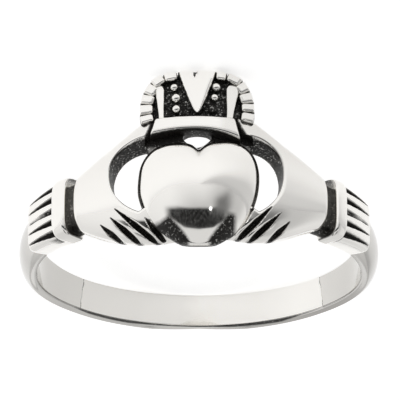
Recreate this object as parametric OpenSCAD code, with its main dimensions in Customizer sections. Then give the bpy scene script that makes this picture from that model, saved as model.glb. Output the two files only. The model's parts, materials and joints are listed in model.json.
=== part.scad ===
// Claddagh ring: two hands hold a crowned heart, cast in one piece with its shank.
// It lies on its side as a ring does, on the top of its crown and on the back of its shank.
// It is drawn with x across the face, y along the finger up to the crown and z out to the heart.
// Places on it are told by s, the way round from the heart's middle, and by y; heights are radii.

/* [Finger hole and shank] */
// Diameter of the finger hole
bore_d = 17.3; // [14:0.1:22]
// How much the finger hole eases past the edges of the shank
hole_ease = 0.04; // [0.02:0.01:0.1]
// Width of the shank at the back of the finger
shank_w = 1.85; // [1.4:0.05:3]
// Thickness of the half-round shank
shank_t = 0.95; // [0.7:0.05:1.6]
// Width of the shank where it leaves the cuffs
shoulder_w = 2.6; // [1.8:0.05:3]

/* [Cuffs] */
// Way round from the heart's middle to a cuff's raised band
cuff_s = 7.9; // [7.6:0.05:8.4]
// Length of the raised band round the finger
band_l = 1.1; // [0.7:0.05:1.5]
// Width of the raised band
band_w = 3.35; // [2.6:0.05:3.8]
// Thickness of the raised band
band_t = 1.6; // [1.4:0.05:2]
// Length of the fluted sleeve round the finger
sleeve_l = 2.75; // [2:0.05:3.2]
// Width of the sleeve at its narrow end
sleeve_w = 2.75; // [2.4:0.05:3.2]
// Thickness of the sleeve
sleeve_t = 1.3; // [1.15:0.05:1.6]
// Flutes on each sleeve
flutes = 5; // [3:1:6]
// Width of a flute at its wide end
flute_w = 0.38; // [0.2:0.02:0.5]
// Depth of a flute at its wide end
flute_d = 0.35; // [0.15:0.01:0.4]
// Distance of the cuffs below the middle of the shank
cuff_drop = 0.25; // [0:0.01:0.4]

/* [Hands] */
// Thickness of the hands
hand_t = 1.5; // [1.4:0.05:1.8]
// Width of a wrist
wrist_w = 3.1; // [2.4:0.05:3.2]
// Gap between a wrist and its cuff
wrist_gap = 0.55; // [0.3:0.05:0.7]
// Height of the thumbs above the middle of the shank
thumb_h = 3.55; // [3:0.05:3.7]
// Depth of the lowest fingers below the middle of the shank
finger_drop = 3.15; // [2.6:0.05:3.6]
// Width of the cuts between the fingers
finger_cut_w = 0.42; // [0.2:0.02:0.5]
// Depth of the cuts between the fingers
finger_cut_d = 0.55; // [0.2:0.05:0.7]
// Width of the space between a hand and the heart
side_gap = 1.45; // [1.1:0.05:1.7]

/* [Heart] */
// Width of the heart
heart_w = 6.45; // [5.8:0.05:6.8]
// Length of the heart from its lobes to its tip
heart_l = 5.8; // [5:0.05:6.2]
// Height of the lobes above the middle of the shank
lobe_h = 2.2; // [1.9:0.05:2.3]
// Depth of the cleft between the lobes
cleft_d = 0.8; // [0.4:0.05:1]
// Thickness of the heart at its rim
heart_rim_t = 1.05; // [0.9:0.05:1.4]
// Rise of the heart's dome above its rim
heart_rise = 1.35; // [0.8:0.05:2]
// Thickness of the sunk web between the lobes and the crown
web_t = 0.7; // [0.5:0.05:1]
// Width of the small hole in the web over the cleft
eye_w = 1.5; // [1:0.05:1.8]

/* [Crown] */
// Width of the crown
crown_w = 5.95; // [5.2:0.05:6.4]
// Height of the crown's top above the middle of the shank
crown_top = 6.15; // [5.8:0.05:6.8]
// Height of the crown's base bar above the middle of the shank
bar_h = 2.85; // [2.6:0.05:3.1]
// Width of the base bar
bar_w = 0.75; // [0.5:0.05:0.9]
// Thickness of the crown's sunk ground
ground_t = 1.0; // [0.8:0.05:1.2]
// Thickness of the crown's raised ornament
ornament_t = 1.5; // [1.25:0.05:1.7]
// Diameter of a bead
bead_d = 0.5; // [0.3:0.02:0.56]
// Lobes round each side of the crown's rim
rim_lobes = 6; // [4:1:7]

/* [Hidden] */

bore_r = bore_d / 2;
bore_reach = 3 * crown_top;
ease_r = bore_r + hole_ease;
inside_r = bore_r - 0.5;              // the pieces start here and the bore trims them
above_r = bore_r + 3;                 // and the tools that cut them start here
edge_r = bore_r + 0.3;                // where the rounded edges begin
shank_r = bore_r + shank_t;
band_r = bore_r + band_t;
sleeve_r = bore_r + sleeve_t;
hand_r = bore_r + hand_t;
web_r = bore_r + web_t;
heart_rim_r = bore_r + heart_rim_t;
ground_r = bore_r + ground_t;
root_r = ground_r - 0.13;             // where the crown's ornament grows out of its ground
ornament_r = bore_r + ornament_t;
half_round = PI * hand_r;

wrist_s = cuff_s - wrist_gap;
band_end = cuff_s + band_l;
sleeve_end = band_end + sleeve_l;
crown_side = crown_w / 2 - 0.15;
thumb_s = 0.95 * crown_side;          // where a thumb ends against the crown
heart_tip = lobe_h - heart_l;
heart_side = heart_w / 2;

function mix(a, b, t) = a + (b - a) * t;
function share(a, b, v) = max(0, min(1, (v - a) / (b - a)));
function ease(t) = t * t * (3 - 2 * t);
function mean(points) = [for (p = points) 1] * points / len(points);
function around(s, y, r) = [r * sin(s / hand_r * 180 / PI), y, r * cos(s / hand_r * 180 / PI)];
function arch(turn, power) = [sign(-cos(turn)) * pow(abs(cos(turn)), 2 / power), pow(abs(sin(turn)), 2 / power)];
function curve(a, b, c, d, n) = [for (i = [0 : n - 1]) let (t = i / n)
    a * pow(1 - t, 3) + 3 * b * t * pow(1 - t, 2) + 3 * c * t * t * (1 - t) + d * pow(t, 3)];
function both(half) = concat(half, [for (i = [len(half) - 1 : -1 : 0]) if (half[i].x > 0.01)
    [-half[i].x, half[i].y]]);

// A closed solid through rings of points, which run clockwise seen from its last ring
module skin(rings) {
    n = len(rings[0]);
    m = len(rings);
    walls = [for (k = [0 : m - 2], i = [0 : n - 1]) let (a = k * n + i, b = k * n + (i + 1) % n)
        each [[a, b, b + n], [a, b + n, a + n]]];
    first = [for (i = [0 : n - 1]) [(i + 1) % n, i, m * n]];
    last = [for (i = [0 : n - 1]) [(m - 1) * n + i, (m - 1) * n + (i + 1) % n, m * n + 1]];
    polyhedron(concat([for (ring = rings) each ring], [mean(rings[0]), mean(rings[m - 1])]),
        concat(walls, first, last));
}

// A rounded bar over stations of [s, low edge, high edge, edge radius, top radius]
module loft(stations, power, across) {
    skin([for (st = stations) let (middle = (st[1] + st[2]) / 2, half = (st[2] - st[1]) / 2)
        concat([around(st[0], st[1], inside_r)],
            [for (j = [0 : across]) let (v = arch(180 * j / across, power))
                around(st[0], middle + half * v[0], mix(st[3], st[4], v[1]))],
            [around(st[0], st[2], inside_r)])]);
}

// A rounded rib along a path of [s, y, half width, top radius] that stands on a ground
module rib(path, ground, power = 2.2, across = 8) {
    skin([for (i = [0 : len(path) - 1])
        let (way = path[min(i + 1, len(path) - 1)] - path[max(i - 1, 0)],
            side = [-way[1], way[0]] / norm([way[0], way[1]]) * path[i][2])
        concat([around(path[i][0] - side[0], path[i][1] - side[1], inside_r)],
            [for (j = [0 : across]) let (v = arch(180 * j / across, power))
                around(path[i][0] + side[0] * v[0], path[i][1] + side[1] * v[0],
                    mix(ground, path[i][3], v[1]))],
            [around(path[i][0] + side[0], path[i][1] + side[1], inside_r)])]);
}

// A cut with a sharp floor along a path of [s, y, half width, depth, surface radius]
module vee(path) {
    over = 0.3;
    skin([for (i = [0 : len(path) - 1])
        let (way = path[min(i + 1, len(path) - 1)] - path[max(i - 1, 0)],
            side = [-way[1], way[0]] / norm([way[0], way[1]]) * path[i][2] * (path[i][3] + over) / path[i][3],
            high = path[i][4] + over)
        [around(path[i][0] - side[0], path[i][1] - side[1], high),
            around(path[i][0] + side[0], path[i][1] + side[1], high),
            around(path[i][0], path[i][1], path[i][4] - path[i][3])]]);
}

module mirrored() {
    children();
    mirror([1, 0, 0]) children();
}

// Shank: half-round, wider where it leaves the cuffs
function shank_width(s) = mix(shoulder_w, shank_w, ease(share(sleeve_end, half_round, s) * 1.6 > 1 ? 1
    : share(sleeve_end, half_round, s) * 1.6));
function shank_middle(s) = -cuff_drop * (1 - ease(share(sleeve_end, half_round, s)));

module shank() {
    steps = 40;
    first = sleeve_end - 0.35;
    last = 2 * half_round - first;
    loft([for (i = [0 : steps]) let (s = mix(first, last, i / steps), near = min(s, 2 * half_round - s))
        [s, shank_middle(near) - shank_width(near) / 2, shank_middle(near) + shank_width(near) / 2,
            bore_r + 0.1, shank_r]], 2, 10);
}

// Cuffs: a wrist groove, a raised band and a sleeve with tapering flutes
module neck() {
    steps = 3;
    loft([for (i = [0 : steps]) [mix(wrist_s - 0.6, sleeve_end - 0.6, i / steps), -cuff_drop - 0.46 * wrist_w,
        -cuff_drop + 0.46 * wrist_w, edge_r, shank_r - 0.04]], 3, 6);
}

module band() {
    steps = 6;
    loft([for (i = [0 : steps]) let (v = arch(180 * i / steps, 2.4), half = mix(0.94, 1, v[1]) * band_w / 2)
        [cuff_s + band_l * (1 + v[0]) / 2, -cuff_drop - half, -cuff_drop + half, edge_r - 0.03,
            mix(band_r - 0.3, band_r, v[1])]], 3.5, 11);
}

// A flute is a sharp notch in the sleeve's section, which narrows and rises towards the shank
function flute_notch(t, half) = [for (i = [0 : flutes - 1]) let (middle = (flutes > 1 ? 2 * i / (flutes - 1) - 1 : 0)
        * 0.8 * half, wide = mix(flute_w, 0.04, t) / 2, deep = mix(flute_d, 0.03, t))
    each [[middle - wide, sleeve_r], [middle, sleeve_r - deep], [middle + wide, sleeve_r]]];

module sleeve() {
    steps = 5;
    first = band_end - 0.15;
    skin([for (i = [0 : steps]) let (t = i / steps, s = mix(first, sleeve_end, t),
            half = mix(0.97 * band_w, sleeve_w, t) / 2, notch = flute_notch(t, half))
        [for (p = concat([[-half, inside_r], [-half, edge_r], [-0.98 * half, sleeve_r - 0.08]], notch,
            [[0.98 * half, sleeve_r - 0.08], [half, edge_r], [half, inside_r]]))
            around(s, p[0] - cuff_drop, p[1])]]);
}

// Hands: they widen from the wrists to the thumbs above and the fingers below
function hand_high(s) = mix(-cuff_drop + wrist_w / 2, thumb_h, share(wrist_s, thumb_s, s));
function hand_low(s) = mix(-cuff_drop - wrist_w / 2, -finger_drop, ease(share(wrist_s, heart_side, s)))
    + 0.5 * ease(share(0.55, 0.25, s / heart_side));

hand_round = 2.8;
function hand_surface(s, y) = let (low = hand_low(abs(s)), high = hand_high(abs(s)),
    v = min(1, abs(2 * y - low - high) / (high - low)))
    mix(edge_r, hand_r, pow(1 - pow(v, hand_round), 1 / hand_round));

module hands() {
    steps = 44;
    loft([for (i = [0 : steps]) let (s = mix(-wrist_s, wrist_s, i / steps), end = abs(s) > wrist_s - 0.1 ? 0.2 : 0)
        [s, hand_low(abs(s)), hand_high(abs(s)), edge_r, hand_r - end]], hand_round, 16);
}

// The space between a hand and the heart, seen from the front
module side_space() {
    inner = 0.87 * heart_side;
    outer = heart_side + side_gap;
    high = 0.78 * thumb_h;
    low = -0.55 * finger_drop;
    linear_extrude(above_r) polygon(concat(
        curve([inner, high - 0.1], [mix(inner, outer, 0.5), high - 0.2], [outer, 0.5 * high], [outer, 0.2 * high], 8),
        curve([outer, 0.2 * high], [outer, 0.2 * low], [mix(inner, outer, 0.6), 0.8 * low], [inner, low], 8),
        [[inner, low], [0.75 * heart_side, 0], [inner, 0.4 * high]]));
}

// The sunk space over the lobes, which the web closes at its floor
module lobe_space() {
    reach = 0.95 * heart_side;
    steps = 10;
    skin([for (r = [web_r, above_r]) concat(
        [for (i = [0 : steps]) let (t = 2 * i / steps - 1) around(t * reach, bar_h - 0.45 * t * t + 0.1, r)],
        [for (i = [0 : steps]) let (t = 1 - 2 * i / steps) around(t * reach, 0.5 * lobe_h, r)])]);
}

module eye() {
    high = bar_h - 0.06;
    middle = bar_h - 0.42;
    linear_extrude(above_r) polygon(both(concat(
        curve([0, high], [0.3 * eye_w, high], [0.5 * eye_w, mix(middle, high, 0.5)], [0.5 * eye_w, middle], 6),
        curve([0.5 * eye_w, middle], [0.4 * eye_w, middle - 0.35], [0.2 * eye_w, middle - 0.7],
            [0, middle - 0.9], 6), [[0, middle - 0.9]])));
}

// Cuts between the fingers: each row is [s at the palm, y at the palm, s at the tip, y at the tip],
// in shares of the heart's half width and of the fingers' depth
finger_cuts = [
    [0.94, -0.48, 0.58, -1.00],
    [1.28, -0.44, 0.64, -1.03],
    [1.42, -0.57, 0.85, -1.06],
    [1.58, -0.68, 1.17, -1.06],
];

module fingers() {
    for (cut = finger_cuts)
        vee([for (t = [0, 0.25, 0.5, 0.75, 1]) let (s = mix(cut[0], cut[2], t) * heart_side,
            y = mix(cut[1], cut[3], t) * finger_drop)
            [s, y, mix(0.08, finger_cut_w, min(1, 1.6 * t)) / 2, mix(0.1, finger_cut_d, min(1, 1.6 * t)),
                hand_surface(s, y)]]);
}

// Heart: its outline shrinks towards its middle as the dome rises
function heart_half(n) = let (high = lobe_h, low = heart_tip, wide = heart_side, mid = mix(low, high, 0.67))
    concat(
        curve([0, high - cleft_d], [0.12 * wide, high - 0.1 * cleft_d], [0.26 * wide, high], [0.46 * wide, high], n),
        curve([0.46 * wide, high], [0.8 * wide, high], [wide, mix(mid, high, 0.6)], [wide, mid], n),
        curve([wide, mid], [wide, mix(mid, low, 0.42)], [0.72 * wide, mix(mid, low, 0.82)],
            [0.3 * wide, mix(mid, low, 0.98)], n),
        curve([0.3 * wide, mix(mid, low, 0.98)], [0.2 * wide, low], [0.1 * wide, low], [0, low], 3),
        [[0, low]]);

module heart() {
    outline = both(heart_half(9));
    middle = mix(heart_tip, lobe_h, 0.58);
    foot = 0.86;
    steps = 9;
    skin(concat(
        [[for (p = outline) around(p.x * foot, mix(middle, p.y, foot), inside_r)]],
        [for (i = [0 : steps - 1]) let (turn = 90 * i / steps, in = pow(cos(turn), 0.9), up = pow(sin(turn), 1.1))
            [for (p = outline) around(p.x * in, mix(middle, p.y, in), heart_rim_r + heart_rise * up)]]));
}

// Crown: a sunk ground, a base bar, a centre fan, two petals, beads and a lobed rim
function crown_half(n) = let (high = crown_top, low = bar_h - 0.02, wide = crown_w / 2)
    concat(
        [[0, high - 0.25]],
        curve([0.07 * wide, high - 0.02], [0.3 * wide, high], [0.62 * wide, high - 0.04], [0.76 * wide, high - 0.4], n),
        curve([0.76 * wide, high - 0.4], [0.94 * wide, high - 0.85], [wide, high - 1.5], [wide, high - 2.1], n),
        curve([wide, high - 2.1], [wide, high - 2.5], [0.98 * wide, low + 0.6], [0.82 * wide, low - 0.3], n),
        [[0.82 * wide, low - 0.3], [0.4 * wide, low - 0.03], [0, low]]);

module ground() {
    outline = both(crown_half(6));
    middle = mix(bar_h, crown_top, 0.5);
    skin([for (step = [[inside_r, 1], [ground_r - 0.08, 1], [ground_r, 0.97], [ground_r, 0.6], [ground_r, 0.25]])
        [for (p = outline) around(p.x * step[1], mix(middle, p.y, step[1]), step[0])]]);
}

function bar_low(s) = bar_h - 0.45 * pow(s / (0.8 * crown_w / 2), 2);

module bar() {
    steps = 12;
    reach = 0.83 * crown_w / 2;
    loft([for (i = [0 : steps]) let (t = 2 * i / steps - 1, s = t * reach)
        [s, bar_low(s), bar_low(s) + bar_w * (1 - 0.1 * t * t) + 0.25 * t * t, root_r, ornament_r + 0.05]], 3, 8);
}

module fan() {
    foot = bar_h + bar_w + 0.1;
    difference() {
        rib([for (t = [0, 0.25, 0.5, 0.75, 1]) [0, mix(foot, crown_top - 0.06, t),
            mix(0.24, 0.33 * crown_w / 2, pow(t, 0.9)), mix(ornament_r - 0.1, ornament_r, t)]], root_r, 4);
        vee([[0, crown_top + 0.1, 0.14, 0.5, ornament_r], [0, crown_top - 0.55, 0.04, 0.1, ornament_r]]);
    }
}

module petals() {
    foot = bar_h + bar_w - 0.1;
    mirrored() rib([for (t = [0, 0.3, 0.6, 0.85, 1]) [mix(0.57, 0.68, t) * crown_w / 2,
        mix(foot, crown_top - 0.75, t), mix(0.17, 0.31, ease(t)) * (t > 0.9 ? 0.55 : 1),
        mix(ornament_r, ornament_r - (t > 0.9 ? 0.25 : 0), t)]], root_r);
}

module beads() {
    mirrored() for (t = [0, 0.5, 1])
        translate(around(mix(0.36, 0.44, t) * crown_w / 2, mix(bar_h + bar_w + 0.45, crown_top - 0.85, t),
            ground_r + 0.1)) sphere(d = bead_d, $fn = 12);
}

module rim() {
    half = crown_half(8);
    first = 5;
    last = 20;
    mirrored() for (i = [0 : rim_lobes - 1])
        let (k = round(mix(first, last, i / (rim_lobes - 1))), p = half[k],
            way = half[k + 1] - half[k - 1], in = [way.y, -way.x] / norm(way) )
        rib([for (t = [0, 0.2, 0.8, 1]) [p.x + in.x * mix(0.06, 0.7, t), p.y + in.y * mix(0.06, 0.7, t),
            (t == 0 || t == 1) ? 0.14 : 0.24, ornament_r - ((t == 0 || t == 1) ? 0.3 : 0.1)]], root_r, 2, 6);
}

module thumb_cut() {
    mirrored() vee([[0.7 * crown_w / 2, bar_h + bar_w + 0.1, 0.07, 0.4, hand_r],
        [0.79 * crown_w / 2, bar_h + 0.3, 0.11, 0.5, hand_r], [0.93 * crown_w / 2, bar_h - 0.6, 0.12, 0.5, hand_r]]);
}

// Everything cast together, before the finger hole
module casting() {
    shank();
    mirrored() {
        neck();
        band();
        sleeve();
    }
    difference() {
        union() {
            difference() {
                hands();
                lobe_space();
                mirrored() {
                    fingers();
                    side_space();
                }
            }
            ground();
            bar();
        }
        thumb_cut();
        eye();
    }
    heart();
    fan();
    petals();
    beads();
    rim();
}

// The finger hole is round right through and a little easier on both sides of the shank
module finger_hole() {
    rotate([90, 0, 0]) cylinder(h = bore_reach, r = bore_r, center = true, $fn = 144);
    translate([0, shoulder_w / 2 - cuff_drop, 0]) rotate([-90, 0, 0]) cylinder(h = bore_reach, r = ease_r, $fn = 144);
    translate([0, -shoulder_w / 2 - cuff_drop, 0]) rotate([90, 0, 0]) cylinder(h = bore_reach, r = ease_r, $fn = 144);
}

// It rests on the crown's top edge at the finger hole and on the edge of the shank's back
function reach_crown(tilt) = max([for (p = crown_half(6)) p.y * cos(tilt) - around(p.x, 0, ease_r).z * sin(tilt)]);
function reach_back(tilt) = max([for (turn = [0 : 5 : 90])
    shank_w / 2 * cos(turn) * cos(tilt) + (bore_r + 0.1 + (shank_t - 0.1) * sin(turn)) * sin(tilt)]);
function settle(low, high, n) = n == 0 ? (low + high) / 2 : let (middle = (low + high) / 2)
    reach_crown(middle) > reach_back(middle) ? settle(middle, high, n - 1) : settle(low, middle, n - 1);
rest_tilt = settle(5, 40, 30);
rest_front = ornament_r * cos(rest_tilt) + (crown_top - 0.06) * sin(rest_tilt);
rest_rear = max([for (turn = [0 : 5 : 90]) shank_w / 2 * cos(turn) * sin(rest_tilt)
    + (bore_r + 0.1 + (shank_t - 0.1) * sin(turn)) * cos(rest_tilt)]);

module claddagh_ring() {
    color([0.82, 0.82, 0.81]) translate([0, (rest_front - rest_rear) / 2, reach_back(rest_tilt)]) rotate([-rest_tilt, 0, 0])
        rotate([-90, 0, 180]) difference() {
            resize([0, 0, 0]) casting();
            finger_hole();
        }
}

claddagh_ring();
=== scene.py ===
"""Claddagh ring in polished sterling silver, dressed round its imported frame.

Every piece is modelled flat in millimetres, as a jeweller lays out a band before bending it:
x runs round the finger from the heart's middle, y along the finger up to the crown and
z is the height above the finger hole. bend_round_finger then wraps the piece round the hole.
"""

import json
import math
from types import SimpleNamespace

import bpy
import numpy as np
from mathutils import Matrix, Vector


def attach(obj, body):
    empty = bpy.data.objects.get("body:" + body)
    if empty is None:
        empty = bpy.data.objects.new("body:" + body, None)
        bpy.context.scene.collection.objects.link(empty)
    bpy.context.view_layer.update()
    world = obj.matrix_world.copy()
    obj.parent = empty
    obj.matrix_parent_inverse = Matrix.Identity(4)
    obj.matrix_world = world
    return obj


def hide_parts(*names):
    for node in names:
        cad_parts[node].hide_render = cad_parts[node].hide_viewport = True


bl_info = {
    "name": "Claddagh Ring",
    "version": (1, 0, 0),
    "blender": (4, 5, 0),
    "location": "View3D > Sidebar > Ring",
    "description": "Models a cast claddagh ring round its packed frame",
    "category": "Object",
}

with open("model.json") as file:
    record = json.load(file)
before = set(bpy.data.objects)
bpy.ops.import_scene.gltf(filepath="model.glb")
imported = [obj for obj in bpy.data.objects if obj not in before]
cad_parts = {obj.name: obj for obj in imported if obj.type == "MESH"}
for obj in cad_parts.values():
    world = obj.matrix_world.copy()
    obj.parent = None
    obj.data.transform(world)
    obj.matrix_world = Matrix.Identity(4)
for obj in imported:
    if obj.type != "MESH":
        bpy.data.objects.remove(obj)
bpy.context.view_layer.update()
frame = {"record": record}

# The finger hole is the frame's one mount, and every piece is placed from it
HOLE = frame["record"]["mounts"][0]
HOLE_CENTRE = Vector(HOLE["pos_m"])
HOLE_RADIUS = HOLE["dims"]["r_mm"]
TO_CROWN = -Vector(HOLE["axis"]).normalized()
ACROSS = Vector((-1, 0, 0))
TO_HEART = ACROSS.cross(TO_CROWN)
ROUND_HEIGHT = 1.5
ROUND_RADIUS = HOLE_RADIUS + ROUND_HEIGHT
HALF_ROUND = math.pi * ROUND_RADIUS
MM = 0.001

# The camera looks from 22 degrees below the heart's face. What it aims at and how far it stands from the
# hole's centre are in millimetres
LENS_DROP = math.radians(22.08)
TO_LENS = TO_HEART * math.cos(LENS_DROP) - TO_CROWN * math.sin(LENS_DROP)
PICTURE_UP = TO_CROWN * math.cos(LENS_DROP) + TO_HEART * math.sin(LENS_DROP)
AIM_UP = 2.743
AIM_ASIDE = 0.061
LENS_AWAY = 350
FOCAL_LENGTH = 589

# The way to the small lamp that sparkles on the heart, and how far off it is in metres
SPARK_WAY = Vector((-0.3395, -0.840, 0.4226))
SPARK_AWAY = 0.4


# Sizes and colours


def length(name, description, mm):
    """A length property that is given in millimetres."""
    return bpy.props.FloatProperty(
        name=name, description=description, default=mm * MM, min=0, unit="LENGTH", precision=5
    )


class RingHeartSizes(bpy.types.PropertyGroup):
    """Sizes of the heart"""

    width: length("Width", "Width of the heart", 6.45)
    long: length("Length", "Length of the heart from its lobes to its tip", 5.8)
    lobes: length("Lobes", "Height of the lobes above the middle of the shank", 2.2)
    cleft: length("Cleft", "Depth of the cleft between the lobes", 0.42)
    rim: length("Rim", "Thickness of the heart at its rim", 1.05)
    rise: length("Rise", "Rise of the heart's dome above its rim", 1.35)


class RingHandSizes(bpy.types.PropertyGroup):
    """Sizes of the hands"""

    thick: length("Thickness", "Thickness of the hands", 1.5)
    wrist: length("Wrist", "Width of a wrist", 3.1)
    thumb: length("Thumbs", "Height of the thumbs above the middle of the shank", 3.8)
    drop: length("Fingers", "Depth of the lowest fingers below the middle of the shank", 3.15)
    cut_wide: length("Finger cuts", "Width of the cuts between the fingers", 0.42)
    cut_deep: length("Cut depth", "Depth of the cuts between the fingers", 0.5)
    gap: length("Side space", "Width of the space between a hand and the heart", 1.45)
    web: length("Web", "Thickness of the sunk web between the lobes and the crown", 0.7)
    eye: length("Eye", "Width of the small hole in the web over the cleft", 1.5)


class RingCuffSizes(bpy.types.PropertyGroup):
    """Sizes of the cuffs and the shank"""

    start: length("Place", "Way round from the heart's middle to a cuff's raised band", 7.9)
    gap: length("Groove", "Gap between a wrist and its cuff", 0.55)
    band_long: length("Band length", "Length of the raised band round the finger", 1.1)
    band_wide: length("Band width", "Width of the raised band", 3.35)
    band_thick: length("Band thickness", "Thickness of the raised band", 1.6)
    sleeve_long: length("Sleeve length", "Length of the fluted sleeve round the finger", 2.75)
    sleeve_wide: length("Sleeve width", "Width of the sleeve at its narrow end", 2.75)
    sleeve_thick: length("Sleeve thickness", "Thickness of the sleeve", 1.3)
    flute_wide: length("Flute width", "Width of a flute at its wide end", 0.38)
    flute_deep: length("Flute depth", "Depth of a flute at its wide end", 0.35)
    drop: length("Drop", "Distance of the cuffs below the middle of the shank", 0.25)
    shank_wide: length("Shank width", "Width of the shank at the back of the finger", 1.85)
    shoulder: length("Shoulder", "Width of the shank where it leaves the cuffs", 2.6)
    shank_thick: length("Shank thickness", "Thickness of the half-round shank", 0.95)


class RingCrownSizes(bpy.types.PropertyGroup):
    """Sizes of the crown"""

    width: length("Width", "Width of the crown", 5.95)
    top: length("Top", "Height of the crown's top above the middle of the shank", 6.15)
    bar: length("Bar height", "Height of the base bar above the middle of the shank", 2.85)
    bar_wide: length("Bar width", "Width of the base bar", 0.75)
    ground: length("Ground", "Thickness of the crown's sunk ground", 1.0)
    ornament: length("Ornament", "Thickness of the crown's raised ornament", 1.5)
    bead: length("Bead", "Diameter of a bead", 0.5)


class RingFinish(bpy.types.PropertyGroup):
    """Colours of the silver and of the studio"""

    silver: bpy.props.StringProperty(
        name="Silver", description="Polished sterling silver, as an sRGB hex value", default="f0eeea"
    )
    # The colour that painted shade darkens the polished silver towards
    shaded: bpy.props.StringProperty(
        name="Shaded silver", description="Silver with a thin tarnish on it, as an sRGB hex value",
        default="b4b2ae",
    )
    # The black is also the colour of a few painted shades and a painted dark reflection
    black: bpy.props.StringProperty(
        name="Blackening", description="Silver sulphide left in the recesses, as an sRGB hex value",
        default="1b1916",
    )
    floor: bpy.props.StringProperty(
        name="Floor", description="Pale studio floor, as an sRGB hex value", default="f4f4f4"
    )


def in_mm(group):
    """The lengths of a property group as plain numbers in millimetres."""
    return SimpleNamespace(**{key: getattr(group, key) / MM for key in group.__annotations__})


# Curves and fields


def mix(a, b, t):
    return a + (b - a) * t


def share(a, b, v):
    return np.clip((v - a) / (b - a), 0, 1)


def ease(t):
    return t * t * (3 - 2 * t)


def curve(points, steps):
    """A chain of Bezier curves through every third point."""
    points = np.array(points, float)
    t = np.linspace(0, 1, steps, endpoint=False)[:, None]
    parts = []
    for i in range(0, len(points) - 1, 3):
        a, b, c, d = points[i:i + 4]
        parts.append(a * (1 - t) ** 3 + 3 * b * t * (1 - t) ** 2 + 3 * c * t * t * (1 - t) + d * t ** 3)
    return np.vstack(parts + [points[-1:]])


def both_sides(half):
    """A closed outline from its right half, which starts and ends on the middle line."""
    return np.vstack([half, [(-x, y) for x, y in half[-2:0:-1]]])


def evenly(path, count, closed=False):
    """The path with count points at even steps."""
    path = np.vstack([path, path[:1]]) if closed else np.asarray(path, float)
    way = np.concatenate([[0], np.cumsum(np.hypot(*np.diff(path, axis=0).T))])
    at = np.linspace(0, way[-1], count, endpoint=not closed)
    return np.column_stack([np.interp(at, way, path[:, 0]), np.interp(at, way, path[:, 1])])


def off_path(x, y, path, closed=False):
    """Each point's distance from a path, and how far along the path its nearest place is, from 0 to 1."""
    path = np.vstack([path, path[:1]]) if closed else np.asarray(path, float)
    best = np.full(x.shape, 1e9)
    along = np.zeros(x.shape)
    step = np.hypot(*np.diff(path, axis=0).T)
    way = np.concatenate([[0], np.cumsum(step)])
    for i in range(len(path) - 1):
        ax, ay = path[i]
        bx, by = path[i + 1]
        if step[i] < 1e-9:
            continue
        t = np.clip(((x - ax) * (bx - ax) + (y - ay) * (by - ay)) / step[i] ** 2, 0, 1)
        d = np.hypot(x - mix(ax, bx, t), y - mix(ay, by, t))
        near = d < best
        best = np.where(near, d, best)
        along = np.where(near, (way[i] + t * step[i]) / way[-1], along)
    return best, along


def inside(x, y, outline):
    """True where a point lies in a closed outline."""
    hit = np.zeros(x.shape, bool)
    for (ax, ay), (bx, by) in zip(outline, np.roll(outline, -1, axis=0)):
        if ay == by:
            continue
        crosses = (ay > y) != (by > y)
        hit ^= crosses & (x < (bx - ax) * (y - ay) / (by - ay) + ax)
    return hit


def depth_inside(x, y, outline):
    """Distance from a closed outline, positive inside it."""
    d, _ = off_path(x, y, outline, closed=True)
    return np.where(inside(x, y, outline), d, -d)


def section(wide, low, high, count, top_power, foot_power=9.0, foot=0.3, foot_weight=1.0):
    """A closed bar section with a flat foot and an arched top, as shares of its half width and its
    heights at count + 1 even steps: across, share of the foot and share of the arch. A foot_weight
    under 1 takes steps from the foot and gives them to the top."""
    turn = np.linspace(-math.pi, math.pi, 2049)
    power = np.where(turn > 0, top_power, foot_power)
    across = np.sign(np.cos(turn)) * np.abs(np.cos(turn)) ** (2 / power)
    up = np.abs(np.sin(turn)) ** (2 / power)
    y = across * wide
    z = np.where(turn > 0, mix(foot, high, up), mix(foot, low, up))
    step = np.hypot(np.diff(y), np.diff(z)) * np.where(turn[1:] > 0, 1, foot_weight)
    way = np.concatenate([[0], np.cumsum(step)])
    at = np.interp(np.linspace(0, way[-1], count + 1), way, turn)
    power = np.where(at > 0, top_power, foot_power)
    across = np.sign(np.cos(at)) * np.abs(np.cos(at)) ** (2 / power)
    up = np.abs(np.sin(at)) ** (2 / power)
    return across, np.where(at > 0, 0, up), np.where(at > 0, up, 0)


def round_way(x, z):
    """The way round the finger to a place that lies x from the middle as seen from the front."""
    return ROUND_RADIUS * np.arcsin(x / (HOLE_RADIUS + z))


# Modelling


def points_of(obj):
    co = np.empty(len(obj.data.vertices) * 3)
    obj.data.vertices.foreach_get("co", co)
    return co.reshape(-1, 3)


def move_points(obj, co):
    obj.data.vertices.foreach_set("co", np.ascontiguousarray(co, float).ravel())
    obj.data.update()


def only(obj):
    """Makes obj the one selected and active object."""
    bpy.ops.object.select_all(action="DESELECT")
    obj.select_set(True)
    bpy.context.view_layer.objects.active = obj


def edit(obj, *steps):
    """Runs edit mode operators on the whole of obj."""
    only(obj)
    bpy.ops.object.mode_set(mode="EDIT")
    bpy.ops.mesh.select_mode(type="VERT")
    for step in steps:
        bpy.ops.mesh.select_all(action="SELECT")
        step()
    bpy.ops.object.mode_set(mode="OBJECT")


def fill_ends():
    bpy.ops.mesh.select_all(action="DESELECT")
    bpy.ops.mesh.select_non_manifold()
    bpy.ops.mesh.fill_holes(sides=0)


def close_skin(obj, merge):
    """Merges the seam and poles, fills the open ends and turns the faces outwards."""
    edit(
        obj,
        lambda: bpy.ops.mesh.remove_doubles(threshold=merge),
        fill_ends,
        lambda: bpy.ops.mesh.normals_make_consistent(inside=False),
    )


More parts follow.
